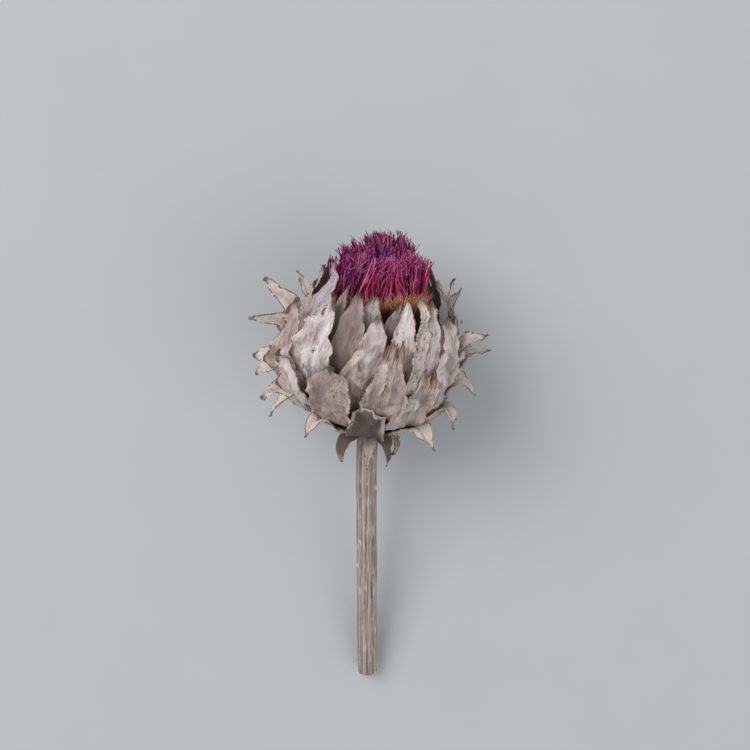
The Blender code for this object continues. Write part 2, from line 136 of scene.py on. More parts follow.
# Bracts that don't grow as their ring does
SHAPED = {
    "stem_bract_1": dict(outline="hanging", reach=0.8, width=12, spine=9, rise=-90, swing=14),
    "stem_bract_2": dict(outline="hanging", reach=0.55, width=10, spine=13, rise=-92, swing=0),
    "stem_bract_3": dict(outline="hanging", reach=0.8, width=11, spine=9, rise=-90, swing=-8),
    "lowest_bract_1": dict(reach=0.8, spine=24, rise=-46),
    "lowest_bract_2": dict(reach=0.72, width=16, spine=14, rise=-48),
    "lowest_bract_3": dict(outline="shield", reach=0.85, width=19, spine=15, rise=50, swing=2),
    "lowest_bract_4": dict(reach=0.66, width=22, spine=18, rise=-27),
    "lowest_bract_7": dict(spine=12, rise=-55),
    "low_bract_1": dict(reach=0.56, spine=20, rise=-14),
    "low_bract_2": dict(reach=0.54, width=20, spine=20, rise=-6),
    "low_bract_3": dict(outline="shield", reach=0.8, width=22, spine=10, rise=80, lean=5),
    "low_bract_4": dict(reach=0.82, width=21, spine=9, rise=84, lean=3),
    "low_bract_5": dict(reach=0.46, width=18, spine=15, rise=-55),
    "low_bract_6": dict(roll=55, reach=0.54, spine=17, rise=-28),
    "low_bract_8": dict(spine=11, rise=70),
    "belly_bract_1": dict(reach=0.4, spine=20, rise=-8),
    "belly_bract_2": dict(outline="upright", peel=0, reach=0.54, width=19, spine=12, rise=76),
    "belly_bract_3": dict(reach=0.69, width=20, spine=9, rise=88, lean=-6),
    "belly_bract_4": dict(reach=0.78, width=18, spine=9, rise=108, lean=0),
    "belly_bract_5": dict(roll=58, reach=0.5, spine=17, rise=24),
    "belly_bract_7": dict(reach=0.54, spine=19, rise=16, swing=0),
    "belly_bract_8": dict(reach=0.54, spine=19, rise=16, swing=0),
    "shoulder_bract_1": dict(peel=2, reach=0.6, width=17, spine=23, rise=92, lean=0, swing=0),
    "shoulder_bract_2": dict(reach=0.8, width=23, spine=11, rise=104, lean=6),
    "shoulder_bract_3": dict(reach=0.76, width=20, spine=9, rise=104, lean=11),
    "shoulder_bract_4": dict(reach=0.9, width=9, spine=7, rise=108, lean=5),
    "shoulder_bract_5": dict(roll=62, reach=0.55, spine=16, rise=29),
    "shoulder_bract_9": dict(reach=0.62, spine=25, rise=34),
    "upper_bract_1": dict(reach=0.52, spine=19, rise=10),
    "upper_bract_2": dict(reach=0.95, width=16, spine=16, rise=98, lean=1, swing=0),
    "upper_bract_3": dict(reach=0.86, width=17, spine=9, rise=103, lean=-3),
    "upper_bract_4": dict(reach=0.82, width=15, spine=9, rise=103, lean=3),
    "upper_bract_5": dict(reach=0.8, width=10, spine=9, rise=104, lean=-9),
    "upper_bract_10": dict(reach=0.6, spine=22, rise=45),
    "inner_bract_2": dict(reach=0.86, width=10, lean=0),
    "inner_bract_3": dict(reach=0.8, width=12, lean=0),
    "inner_bract_4": dict(reach=0.76, width=12, lean=0),
}

UPRIGHT = 60  # least rise of a spine that stands up along the head, in degrees

# Outlines of a bract: (share of the blade's length, share of its greatest half width), then the same along
# the spine
OUTLINES = {
    "spreading": (
        [(0, 0.85), (0.3, 0.97), (0.65, 1.0), (0.85, 0.86), (1.0, 0.62)],
        [(0, 0.62), (0.35, 0.38), (0.7, 0.18), (1.0, 0.01)],
    ),
    "upright": (
        [(0, 0.8), (0.22, 0.95), (0.45, 1.0), (0.65, 0.9), (0.82, 0.68), (1.0, 0.44)],
        [(0, 0.44), (0.5, 0.26), (1.0, 0.03)],
    ),
    "shield": (
        [(0, 0.5), (0.3, 0.76), (0.6, 1.0), (1.0, 0.96)],
        [(0, 0.96), (0.3, 0.74), (0.6, 0.4), (1.0, 0.04)],
    ),
    "hanging": (
        [(0, 0.9), (0.5, 0.9), (1.0, 0.66)],
        [(0, 0.66), (1.0, 0.04)],
    ),
}

# How a dry bract has wrinkled and how it is coloured. A ring's habit holds for its bracts, and a bract's own
# values come after it. drift, how far it has moved round the head, and turn, how far its outer side now faces
# the front, are in degrees. lift, dent, crease, ripple, curl, tilt and hook are in millimetres. wide is a
# share of its width, and the rest goes from 0 to 1. shade is mostly painted shade, darkest towards the foot,
# for bracts that lie under others or under the head; on a few bracts it is a darker skin of their own.
HABITS = {
    "stem_bract": dict(wide=0.85, hook=0.0, dent=0.5, crease=0.4, curl=0.3, warm=0.45, spots=0.6, shade=0.15),
    "lowest_bract": dict(dent=1.0, crease=0.6, curl=0.4, tilt=0.2, warm=0.55, spots=0.4),
    "low_bract": dict(dent=1.5, crease=0.9, curl=1.2, warm=0.45, spots=0.3),
    "belly_bract": dict(dent=1.5, crease=0.95, curl=1.3, warm=0.4, spots=0.3),
    "shoulder_bract": dict(dent=1.4, crease=0.95, curl=1.2, warm=0.35, spots=0.25),
    "upper_bract": dict(dent=0.9, crease=0.5, curl=0.8, warm=0.4, spots=0.25, shade=0.2),
    "inner_bract": dict(
        wide=1.5, blunt=0.5, dent=0.6, crease=0.4, curl=0.4, warm=0.35, blush=0.6, spots=0.4, shade=0.55,
    ),
}

# Where a ring has no habit: the range in which most bracts are, and the looks that only a few have
USUAL = {
    "ripple": (0.7, 1.4), "tilt": (0.6, 1.5), "hook": (0, 1.5), "scorch": (0, 0.35), "pale": (0.1, 0.7),
    "blush": (0, 0.45), "shade": (0, 0.1),
}
RARE = ("drift", "turn", "lift", "blunt", "lip", "torn", "lilac")
USUAL_WIDE = 1.12

# Looks of single bracts
OWN = {
    "lowest_bract_3": dict(
        wide=0.95, blunt=0.9, lip=0.55, pale=0.12, blush=0.6, shade=0.85, ripple=2.6, curl=2.6, dent=1.2,
    ),
    "low_bract_3": dict(
        wide=1.05, dent=1.2, curl=1.3, ripple=1.2, pale=0.05, shade=0.12, blush=0.45, spots=0.7,
    ),
    "low_bract_4": dict(wide=0.95, torn=0.1, blunt=0.4, pale=0.3, blush=0.2, warm=0.35, scorch=0.3),
    "belly_bract_2": dict(turn=34, lift=3.0, drift=6, wide=0.85, pale=0.8, hook=2.0, curl=1.5, warm=0.2),
    "belly_bract_3": dict(
        torn=0.1, blunt=0.5, dent=1.1, crease=0.75, tilt=0.8, pale=0.1, blush=0.3, warm=0.35, scorch=0.3,
    ),
    "belly_bract_4": dict(
        drift=-3, wide=0.92, dent=0.8, ripple=0.5, curl=0.4, hook=0.0, pale=0.4, warm=0.3, spots=0.3,
    ),
    "shoulder_bract_1": dict(
        turn=32, lift=2.5, drift=12, wide=0.95, tilt=0.0, curl=0.8, hook=0.0, pale=0.5, blush=0.7, spots=0.9,
    ),
    "shoulder_bract_2": dict(
        drift=-2, wide=1.17, dent=1.7, curl=1.8, ripple=1.6, tilt=1.0, pale=0.65, blush=0.35, warm=0.2,
    ),
    "shoulder_bract_3": dict(
        dent=0.9, tilt=0.2, curl=0.5, ripple=0.6, pale=0.25, blush=0.35, warm=0.3, scorch=0.2,
    ),
    "shoulder_bract_4": dict(drift=-5, wide=0.95, pale=0.45, spots=1.0),
    "shoulder_bract_9": dict(wide=0.72),
    "upper_bract_10": dict(wide=0.8),
    "upper_bract_2": dict(drift=5, wide=1.3, pale=0.65, lilac=0.9, warm=0.1, spots=0.2),
    "upper_bract_3": dict(pale=0.05, blush=0.6, scorch=0.4, shade=0.5, warm=0.2, crease=0.2),
    "upper_bract_4": dict(pale=0.75, warm=0.1, shade=0.05, scorch=1.0),
    "upper_bract_5": dict(lift=2.2, pale=1.0, warm=0.1, shade=0.0),
    "stem_bract_1": dict(wide=1.0, shade=0.9),
    "stem_bract_2": dict(wide=0.95, shade=0.3),
    "stem_bract_3": dict(wide=1.0, shade=0.9),
    "inner_bract_1": dict(shade=0.1, pale=0.5, warm=0.2),
    "inner_bract_9": dict(shade=0.15, pale=0.4, warm=0.3),
    "inner_bract_3": dict(blunt=0.75, shade=0.6),
    "inner_bract_4": dict(blunt=0.8, shade=0.75),
}


@dataclass
class Bract:
    """One bract, in metres and radians, and how it has dried."""

    name: str
    ring: Ring
    azimuth: float
    room: float
    reach: float
    half_width: float
    spine: float
    rise: float
    outline: str
    roll: float  # turn of the spine about its own length, its face to the front, where the bract is at a side
    peel: float
    lean: float
    swing: float
    look: dict
    seed: float


def bract_plan():
    """Every bract of the flower, outermost ring first."""
    chance = random.Random(SEED)
    dried = random.Random(SEED + 20)
    plan = []
    for ring in RINGS:
        around = sorted(ring.azimuths)
        gaps = [(b - a) % 360 for a, b in zip(around, around[1:] + around[:1])]
        for i, azimuth in enumerate(ring.azimuths):
            name = f"{ring.name}_{i + 1}"
            place = around.index(azimuth)
            vary = {
                "reach": ring.reach * chance.uniform(0.94, 1.05),
                "width": ring.width * chance.uniform(0.92, 1.04),
                "spine": ring.spine * chance.uniform(0.85, 1.12),
                "rise": ring.rise + chance.uniform(-11, 11),
                "lean": chance.uniform(-3, 3),
                "swing": chance.uniform(-12, 12),
            }
            vary.update(SHAPED.get(name, {}))
            look = dict.fromkeys(RARE, 0.0) | {"wide": USUAL_WIDE}
            look |= {key: dried.uniform(*span) for key, span in USUAL.items()}
            look |= HABITS[ring.name] | OWN.get(name, {})
            plan.append(
                Bract(
                    name=name,
                    ring=ring,
                    azimuth=math.radians(azimuth),
                    room=math.radians(min(gaps[place], gaps[place - 1])),
                    reach=vary["reach"],
                    half_width=vary["width"] / 2 * MM,
                    spine=vary["spine"] * MM,
                    rise=math.radians(vary["rise"]),
                    outline=vary.get("outline", "upright" if vary["rise"] >= UPRIGHT else "spreading"),
                    roll=math.radians(vary.get("roll", SPINE_ROLL)),
                    peel=vary.get("peel", 0) * MM,
                    lean=math.radians(vary["lean"]),
                    swing=math.radians(vary["swing"]),
                    look=look,
                    seed=dried.uniform(0, 100),
                )
            )
    return plan


def between(points, x):
    """The value at x on the straight lines through (x, value) points."""
    for (x0, y0), (x1, y1) in zip(points, points[1:]):
        if x <= x1:
            return y0 + (y1 - y0) * max(0, x - x0) / (x1 - x0)
    return points[-1][1]


def ease(x, low, high):
    """0 below low, 1 above high and smooth between them; low may be the larger."""
    t = min(1, max(0, (x - low) / (high - low)))
    return t * t * (3 - 2 * t)


def smooth_line(points, per_span=12):
    """Closely spaced points on a smooth curve through (radius, height) points given in millimetres."""
    knots = [Vector((r, h, 0)) * MM for r, h in points]
    knots = [2 * knots[0] - knots[1]] + knots + [2 * knots[-1] - knots[-2]]
    line = []
    for before, start, end, after in zip(knots, knots[1:], knots[2:], knots[3:]):
        handles = start + (end - before) / 6, end - (after - start) / 6
        line += interpolate_bezier(start, *handles, end, per_span)[:-1]
    return line + [knots[-2]]


class CentreLine:
    """The middle of a bract: the ring's profile up to where the spine leaves it, then the spine."""

    MARCH = 0.25 * MM

    def __init__(self, bract):
        profile = smooth_line(bract.ring.profile)
        whole = sum((end - start).length for start, end in zip(profile, profile[1:]))
        self.blade = whole * bract.reach
        self.length = self.blade + bract.spine
        self.stops = [(0.0, profile[0], self.heading_of(profile[0], profile[1]))]
        walked = 0.0
        for start, end in zip(profile, profile[1:]):
            step = (end - start).length
            heading = self.heading_of(start, end)
            if walked + step > self.blade:
                self.stops.append((self.blade, start.lerp(end, (self.blade - walked) / step), heading))
                break
            walked += step
            self.stops.append((walked, end, heading))
        _, point, heading = self.stops[-1]
        steps = max(1, round(bract.spine / self.MARCH))
        step = bract.spine / steps
        for i in range(1, steps + 1):
            now = heading + (bract.rise - heading) * ease(i * step, 0, BEND)
            point = point + Vector((math.cos(now), math.sin(now), 0)) * step
            self.stops.append((self.blade + i * step, point, now))

    @staticmethod
    def heading_of(start, end):
        return math.atan2(end.y - start.y, end.x - start.x)

    def at(self, distance):
        """(radius, height, heading) at a distance from the foot."""
        after = bisect_right(self.stops, distance, key=lambda stop: stop[0])
        after = min(max(1, after), len(self.stops) - 1)
        (passed, start, heading), (ahead, end, next_heading) = self.stops[after - 1:after + 1]
        share = min(1, max(0, (distance - passed) / max(ahead - passed, 1e-9)))
        point = start.lerp(end, share)
        return point.x, point.y, heading + (next_heading - heading) * share


def bulge_at(azimuth, height):
    """How many times as far from the axis a point stands, for the fuller side of the head."""
    low, high = BULGE_HEIGHTS
    up = min(1, max(0, (height - low) / (high - low)))
    return 1 + BULGE * max(0, -math.sin(azimuth)) * math.sin(math.pi * up) ** 2


def rough(x, y, z):
    """Smooth noise from -1 to 1."""
    return noise.noise(Vector((x, y, z)))


def creased(x, y, z):
    """Noise from -1 to 1 whose crests are sharp folds."""
    return max(-1, 1 - 5 * abs(rough(x, y, z)))


# How the flower is laid down

LAID = (
    Matrix.Rotation(HEAD_YAW, 4, "Z")
    @ Matrix.Rotation(HEAD_SLOPE - math.pi / 2, 4, "X")
    @ Matrix.Rotation(HEAD_ROLL, 4, "Z")
)


def junction_place():
    """Where the stem meets the head: below the middle of the receptacle's flat top."""
    upright = LAID.inverted()
    points = [upright @ vert.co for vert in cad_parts["stem_and_receptacle"].data.vertices]
    top = max(p.z for p in points)
    rim = [p for p in points if p.z > top - 0.01 * MM]
    middle = [(min(p[k] for p in rim) + max(p[k] for p in rim)) / 2 for k in range(2)]
    return LAID @ Vector((*middle, top - RECEPTACLE_TOP))


JUNCTION = junction_place()
PLACED = Matrix.Translation(JUNCTION) @ LAID


def finished(work, name, material, sharp=50):
    """An object at the origin from a bmesh in the flower's frame, laid down as the flower lies."""
    bmesh.ops.transform(work, matrix=PLACED, verts=work.verts)
    bmesh.ops.recalc_face_normals(work, faces=work.faces)
    mesh = bpy.data.meshes.new(name)
    work.to_mesh(mesh)
    work.free()
    mesh.materials.append(material)
    mesh.shade_smooth()
    mesh.set_sharp_from_angle(angle=math.radians(sharp))
    obj = bpy.data.objects.new(name, mesh)
    bpy.context.scene.collection.objects.link(obj)
    return obj


# What the panel offers

def colour_setting(name, description, default):
    return bpy.props.FloatVectorProperty(name=name, description=description, default=default, subtype="COLOR")


def length_setting(name, description, default):
    return bpy.props.FloatProperty(name=name, description=description, default=default, unit="LENGTH")


def power_setting(name, description, default):
    return bpy.props.FloatProperty(name=name, description=description, default=default, subtype="POWER")


# Shader maths

class Value:
    """A socket of a shader with which sums can be written."""

    def __init__(self, tree, socket):
        self.tree = tree
        self.socket = socket

    def sum(self, operation, *terms):
        node = self.tree.nodes.new("ShaderNodeMath")
        node.operation = operation
        for socket, term in zip(node.inputs, terms):
            plug(self.tree, socket, term)
        return Value(self.tree, node.outputs[0])

    def __add__(self, other):
        return self.sum("ADD", self, other)

    def __radd__(self, other):
        return self.sum("ADD", other, self)

    def __sub__(self, other):
        return self.sum("SUBTRACT", self, other)

    def __rsub__(self, other):
        return self.sum("SUBTRACT", other, self)

    def __mul__(self, other):
        return self.sum("MULTIPLY", self, other)

    def __rmul__(self, other):
        return self.sum("MULTIPLY", other, self)


def plug(tree, socket, value):
    """Links a value's socket, or sets a constant."""
    if isinstance(value, Value):
        tree.links.new(value.socket, socket)
    elif isinstance(value, tuple) and len(value) == 3 and socket.type == "RGBA":
        socket.default_value = (*value, 1)
    else:
        socket.default_value = value


class Finish:
    """One material, whose Principled shader is fed by what its methods make."""

    def __init__(self, name, **constants):
        self.material = bpy.data.materials.new(name)
        self.material.use_nodes = True
        self.tree = self.material.node_tree
        self.shader = self.tree.nodes["Principled BSDF"]
        for key, value in constants.items():
            plug(self.tree, self.shader.inputs[key.replace("_", " ").title()], value)

    def node(self, kind, settings, sockets, output=0):
        """A node of a type, its settings first and then its sockets. Returns one of its outputs."""
        node = self.tree.nodes.new(kind)
        for key, value in settings.items():
            if key == "stops":
                self.set_stops(node.color_ramp, value)
            else:
                setattr(node, key, value)
        for key, value in sockets.items():
            plug(self.tree, node.inputs[key], value)
        return Value(self.tree, node.outputs[output])

    @staticmethod
    def set_stops(ramp, stops):
        while len(ramp.elements) < len(stops):
            ramp.elements.new(1)
        for element, (place, colour) in zip(ramp.elements, stops):
            element.position = place
            element.color = (*colour, 1)

    def attribute(self, name):
        """The three numbers of a vector attribute of the piece."""
        settings = {"attribute_name": name, "attribute_type": "GEOMETRY"}
        return self.node("ShaderNodeAttribute", settings, {}, "Vector")

    def ramp(self, value, stops):
        return self.node("ShaderNodeValToRGB", {"stops": stops}, {0: value})

    def split(self, vector):
        node = self.tree.nodes.new("ShaderNodeSeparateXYZ")
        plug(self.tree, node.inputs[0], vector)
        return [Value(self.tree, socket) for socket in node.outputs]

    def place(self):
        return self.node("ShaderNodeTexCoord", {}, {}, "Object")

    def stretched(self, vector, by):
        return self.node("ShaderNodeVectorMath", {"operation": "MULTIPLY"}, {0: vector, 1: by})

    def noise(self, vector, scale, detail=3.0, roughness=0.55, bend=0.0):
        sockets = {
            "Vector": vector, "Scale": scale, "Detail": detail, "Roughness": roughness, "Distortion": bend,
        }
        return self.node("ShaderNodeTexNoise", {}, sockets)

    def grained(self, grain, waves, detail, roughness, bend=0.0):
        """Noise that follows a surface, with so many waves in a millimetre across and along it."""
        return self.noise(self.stretched(grain, waves), 1, detail, roughness, bend)

    def step(self, value, low, high, to=1.0, start=0.0):
        """`start` where the value is below low and `to` above high, smooth between them."""
        settings = {"interpolation_type": "SMOOTHSTEP"}
        sockets = {"Value": value, "From Min": low, "From Max": high, "To Min": start, "To Max": to}
        return self.node("ShaderNodeMapRange", settings, sockets)

    def fall(self, value, low, high, top=1.0):
        """`top` where the value is below low and 0 above high."""
        return self.step(value, low, high, 0.0, top)

    def mix(self, factor, first, second, blend="MIX"):
        settings = {"data_type": "RGBA", "blend_type": blend, "clamp_factor": True}
        return self.node("ShaderNodeMix", settings, {0: factor, 6: first, 7: second}, 2)

    def cover(self, colour, layers):
        """A colour under layers of (factor, colour), the lowest layer first."""
        for factor, layer in layers:
            colour = self.mix(factor, colour, layer)
        return colour

    def bump(self, height, distance, strength=1.0):
        sockets = {"Strength": strength, "Distance": distance, "Height": height}
        return self.node("ShaderNodeBump", {}, sockets)

    def feed(self, **values):
        for key, value in values.items():
            plug(self.tree, self.shader.inputs[key.replace("_", " ").title()], value)
        return self.material


# Bracts

# Faces of a bract's sheet across and along it
ACROSS = 24
ALONG = 64
THINNING = 0.6  # how much thinner a bract is at its tip than at its foot


def half_width_at(bract, line, distance, radius):
    """Half the width of a bract at a distance from its foot."""
    if distance <= line.blade:
        share = between(OUTLINES[bract.outline][0], distance / line.blade)
    else:
        share = between(OUTLINES[bract.outline][1], (distance - line.blade) / bract.spine)
    share = max(share, bract.look["blunt"] * ease(distance, 0.4 * line.length, 0.6 * line.length))
    return min(bract.half_width * bract.look["wide"] * share, CROWDING * bract.room * radius)


def relief(look, seed, u, v, across, along, slack):
    """How far a dry bract stands out from its smooth form, in millimetres.

    slack is 0 where the bract has dried stiff. Each divisor is the length of a wave in millimetres.
    """
    upper = ease(v, 0.15, 0.55)
    margin = abs(u) ** 3 * upper * slack
    side = seed + (31 if u > 0 else 0)
    slant = 0.35 * math.sin(seed)
    dent = rough(across / 10, along / 13, seed) * (0.25 + 0.75 * upper) * slack
    long_folds = creased((across + slant * along) / 10, along / 20, seed + 2)
    short_folds = creased(across / 7, (along - slant * across) / 7, seed + 3)
    midrib = math.exp(-((u / 0.12) ** 2)) * (0.3 + 0.7 * ease(v, 0.5, 1))
    out = 2.6 * look["dent"] * dent
    out += look["crease"] * (1.5 * long_folds + 0.8 * short_folds) * upper
    out += 0.3 * rough(across / 1.9, along / 22, seed + 7)
    out += 0.12 * rough(across / 3.0, along / 4.4, seed + 9) * (0.3 + 0.7 * upper)
    out += look["curl"] * margin * (1 + 1.8 * rough(along / 8, side, 6))
    out += 1.7 * look["ripple"] * margin * rough(along / 4.2, side, 4)
    out += look["tilt"] * u * upper
    out += 0.5 * midrib
    out += look["hook"] * ease(v, 0.8, 1.0) ** 2
    # There is less room towards the axis than away from it.
    return (out if out > 0 else 0.35 * out) * ease(v, 1.12, 0.92)


def bract_point(bract, line, u, v):
    """A bract's outer side at u, -1 to 1 across, and v, 0 to 1 along, with the marks that colour it."""
    look = bract.look
    seed = bract.seed
    side_seed = seed + (11 if u > 0 else 0)

    # Along the bract, as far as its tip isn't torn off
    fray = 0.5 + 1.3 * rough(u * 2.4, seed, 3) + 0.7 * rough(u * 7, seed, 5)
    distance = v * (1 - look["torn"] * min(1, max(0, fray))) * line.length
    along = distance / MM
    radius, height, heading = line.at(distance)
    free = max(0, distance - line.blade)
    bent = min(1, free / BEND)
    slack = 1 if bract.outline in ("upright", "shield") else 1 - 0.8 * ease(free, -BEND, BEND)

    # Across it, to margins that are uneven
    half = half_width_at(bract, line, distance, radius)
    if look["blunt"]:
        half *= math.sqrt(max(0.02, 1 - ease(v, 0.75, 1.0) * (0.35 if look["torn"] else 0.95)))
    half *= 1 + slack * (0.15 * rough(along / 9, side_seed, 1) + 0.12 * rough(along / 3.4, side_seed, 2))
    half *= 1 + 0.025 * rough(along / 1.3, side_seed, 8)
    side = u * half
    across = side / MM

    # Some bracts have come loose, moved round a little and turned their outer side to the front.
    azimuth = bract.azimuth + (TWIST + bract.lean) * height / HEAD_HEIGHT + math.radians(look["drift"])
    to_front = math.copysign(1, azimuth)
    loose = ease(v, 0.1, 0.5)
    turn = math.radians(look["turn"]) * loose
    out = look["lift"] * MM * loose + side * math.sin(turn) * to_front
    side *= math.cos(turn)

    # A spine is folded along its middle and, at the sides of the head, rolled to show its face.
    roll = bract.roll * math.sin(azimuth) * bent if bract.outline == "spreading" else 0
    fold = SPINE_FOLD * abs(side) * bent + side * math.sin(roll)
    side *= math.cos(roll)
    out += relief(look, seed, u, v, across, along, slack) * MM
    out += bract.peel * max(0, u * to_front) ** 1.5 * min(1, distance / line.blade)
    radius += (out - fold) * math.sin(heading)
    height += (fold - out) * math.cos(heading)
    turned = azimuth + (side + free * math.tan(bract.swing)) / radius
    radius *= bulge_at(turned, height)
    point = Vector((radius * math.sin(turned), -radius * math.cos(turned), height))
    edge = min((1 - abs(u)) * half, 1.5 * (1 - v) * line.length) / MM
    return point, (across, along, seed), (edge, v, 0)


def lay_bract(work, bract, thickness):
    """A sheet on the bract's centre line, given a thickness that thins towards the tip."""
    line = CentreLine(bract)
    layers = work.verts.layers.float_vector
    grain, marks, tint, tone, wear = [layers.new(name) for name in ("grain", "marks", "tint", "tone", "wear")]
    look = bract.look
    sheet = bmesh.ops.create_grid(work, x_segments=ACROSS, y_segments=ALONG, size=1)["verts"]
    for vert in sheet:
        u, v = vert.co.x, (vert.co.y + 1) / 2
        vert.co, vert[grain], vert[marks] = bract_point(bract, line, u, v)
        vert[tint] = (look["pale"], look["warm"], look["blush"])
        # The second number of tone is the bract's painted shade.
        vert[tone] = (look["spots"], look["shade"], look["lilac"])
        vert[wear] = (ease(v, 0.7, 1.0) * (look["torn"] > 0), look["lip"], look["scorch"])
    work.normal_update()
    outward = {tuple(vert.co): vert.normal.copy() for vert in sheet}
    made = bmesh.ops.extrude_face_region(work, geom=work.faces[:], use_keep_orig=True)["geom"]
    for vert in made:
        if isinstance(vert, bmesh.types.BMVert):
            edge, v, _ = vert[marks]
            vert.co -= outward[tuple(vert.co)] * thickness * (1 - THINNING * v)
            vert[marks] = (edge, v, 1)


LILAC = (0.45, 0.38, 0.56)
STAIN = (0.26, 0.17, 0.14)
SPECK = (0.13, 0.07, 0.06)
SCORCHED = (0.27, 0.17, 0.11)
SCORCHED_FIBRE = (0.46, 0.34, 0.23)
VEIN = (0.22, 0.13, 0.11)
FRAYED = (0.16, 0.085, 0.05)
FRAYED_FIBRE = (0.44, 0.30, 0.18)
# Mostly painted shade on bracts that lie in shade, and a darker skin on a few bracts
SHADE_AND_DARK_SKIN = (0.08, 0.052, 0.042)
TIP = (0.12, 0.07, 0.05)
FURROWED = (0.62, 0.56, 0.54)


def bract_finish(settings):
    """Dry bract skin: ash and chalk, tan feet, mauve flush, dark spots, russet margins, brown tips and
    painted shade.
    """
    dry = Finish("dry_bract", roughness=0.82, metallic=0.0)
    dry.shader.inputs["Specular IOR Level"].default_value = 0.3
    grain = dry.attribute("grain")
    edge, along, inside = dry.split(dry.attribute("marks"))
    pale, warm, blush = dry.split(dry.attribute("tint"))
    spots, shade, lilac = dry.split(dry.attribute("tone"))
    frayed, lip, scorch = dry.split(dry.attribute("wear"))

    # Patterns that run along a bract, from its finest fibres to its broad clouds
    fibre = dry.grained(grain, (1.7, 0.10, 1), 3, 0.6)
    streak = dry.grained(grain, (0.36, 0.05, 1), 3, 0.6, 0.4)
    vein = dry.grained(grain, (0.30, 0.022, 1), 2, 0.5, 0.6)
    speck = dry.grained(grain, (0.95, 0.65, 2.1), 3, 0.5)
    stain = dry.grained(grain, (0.34, 0.24, 1.7), 4, 0.6, 1.5)
    dust = dry.grained(grain, (0.28, 0.16, 0.6), 3, 0.5, 0.8)
    patch = dry.grained(grain, (0.16, 0.09, 1.3), 3, 0.5, 1.0)
    cloud = dry.grained(grain, (0.10, 0.06, 1), 2, 0.5, 0.8)

    # Where each colour lies
    foot = dry.fall(along, 0.12, 0.5, 0.8)
    tanned = dry.step(patch * 0.6 + stain * 0.4 + warm * 0.30 + foot * 0.4, 0.6, 0.8, 0.75)
    flushed = dry.step(cloud * 0.6 + dust * 0.4 + blush * 0.40, 0.6, 0.85, 0.7)
    specked = dry.step(speck + spots * 0.12, 0.70, 0.77, 0.85) * dry.step(along, 0.15, 0.4)
    upper_part = dry.step(along, 0.2, 0.45) * dry.fall(along, 0.6, 0.85)
    scorched = upper_part * dry.step(streak * 0.5 + patch * 0.5, 0.42, 0.58) * scorch
    line = dry.step(vein, 0.475, 0.5) * dry.fall(vein, 0.5, 0.525)
    near_margin = dry.fall(edge, 0.3, 3.2) * dry.step(patch, 0.32, 0.56, 0.8)
    rim = dry.fall(edge + (dust - 0.5) * 1.1, 0.2, 0.55) * dry.step(stain, 0.40, 0.52)
    pale_lip = dry.fall(edge + (dust - 0.5) * 9, 1.0, 2.6) * dry.step(along, 0.5, 0.8) * lip

    skin = dry.mix(dry.step(cloud + pale * 0.3 - 0.1, 0.32, 0.66), settings.ash[:], settings.pale_ash[:])
    skin = dry.cover(skin, [
        (dry.step(dust, 0.42, 0.68, 0.55), settings.rose[:]),
        (dry.step(patch + pale * 0.26, 0.50, 0.80), settings.chalk[:]),
        (dry.step(streak + pale * 0.22, 0.56, 0.84, 0.5), settings.chalk[:]),
        (tanned, settings.tan[:]),
        (flushed, settings.mauve[:]),
        (dry.step(along, 0.6, 0.95) * lilac, LILAC),
        (dry.step(stain + spots * 0.10, 0.63, 0.72, 0.5), STAIN),
        (specked, SPECK),
        (scorched, dry.mix(dry.step(fibre, 0.42, 0.58), SCORCHED, SCORCHED_FIBRE)),
        (line * dry.step(dust, 0.4, 0.6, 0.75), VEIN),
        (near_margin, settings.straw[:]),
        (dry.fall(edge, 0.2, 0.8, 0.5), settings.chalk[:]),
        (
            dry.step(frayed + (patch - 0.5) * 0.9, 0.62, 0.9, 0.85),
            dry.mix(dry.step(fibre, 0.4, 0.6), FRAYED, FRAYED_FIBRE),
        ),
        (inside * dry.step(dust, 0.35, 0.65, 0.35) + inside * 0.45, settings.inner[:]),
        # Painted shade, darker below three quarters of the way up where outer bracts cover a bract; on a few
        # it is a darker skin
        (shade * dry.fall(along, 0.75, 1.0, 0.45) + shade * 0.55, SHADE_AND_DARK_SKIN),
        (rim * 0.95, settings.margin[:]),
        (dry.step(along + (streak - 0.5) * 0.2, 0.92, 1.0, 0.85), TIP),
        (pale_lip, settings.chalk[:]),
    ])
    furrows = dry.ramp(fibre, [(0.32, FURROWED), (0.56, (1, 1, 1))])
    skin = dry.mix(0.28, skin, furrows, "MULTIPLY")
    height = fibre * 0.25 + streak * 0.6 + patch * 0.5 + dust * 0.2 - line * 0.2
    return dry.feed(base_color=skin, normal=dry.bump(height, 0.7 * MM))


class BractSettings(bpy.types.PropertyGroup):
    thickness: length_setting("Thickness", "Thickness of a bract at its foot", 0.8 * MM)
    ash: colour_setting("Ash", "Darker skin of a bract", (0.23, 0.185, 0.165))
    pale_ash: colour_setting("Pale ash", "Usual skin of a bract", (0.49, 0.43, 0.41))
    chalk: colour_setting("Chalk", "Whitish streaks", (0.84, 0.785, 0.79))
    rose: colour_setting("Rose", "Pinkish beige clouds", (0.38, 0.27, 0.245))
    tan: colour_setting("Tan", "Feet and patches", (0.50, 0.36, 0.24))
    mauve: colour_setting("Mauve", "Flush on some bracts", (0.36, 0.24, 0.25))
    straw: colour_setting("Straw", "Inside the margins", (0.64, 0.49, 0.41))
    margin: colour_setting("Margin", "Thin dark edges", (0.185, 0.09, 0.065))
    inner: colour_setting("Inner side", "Side towards the axis", (0.68, 0.60, 0.53))


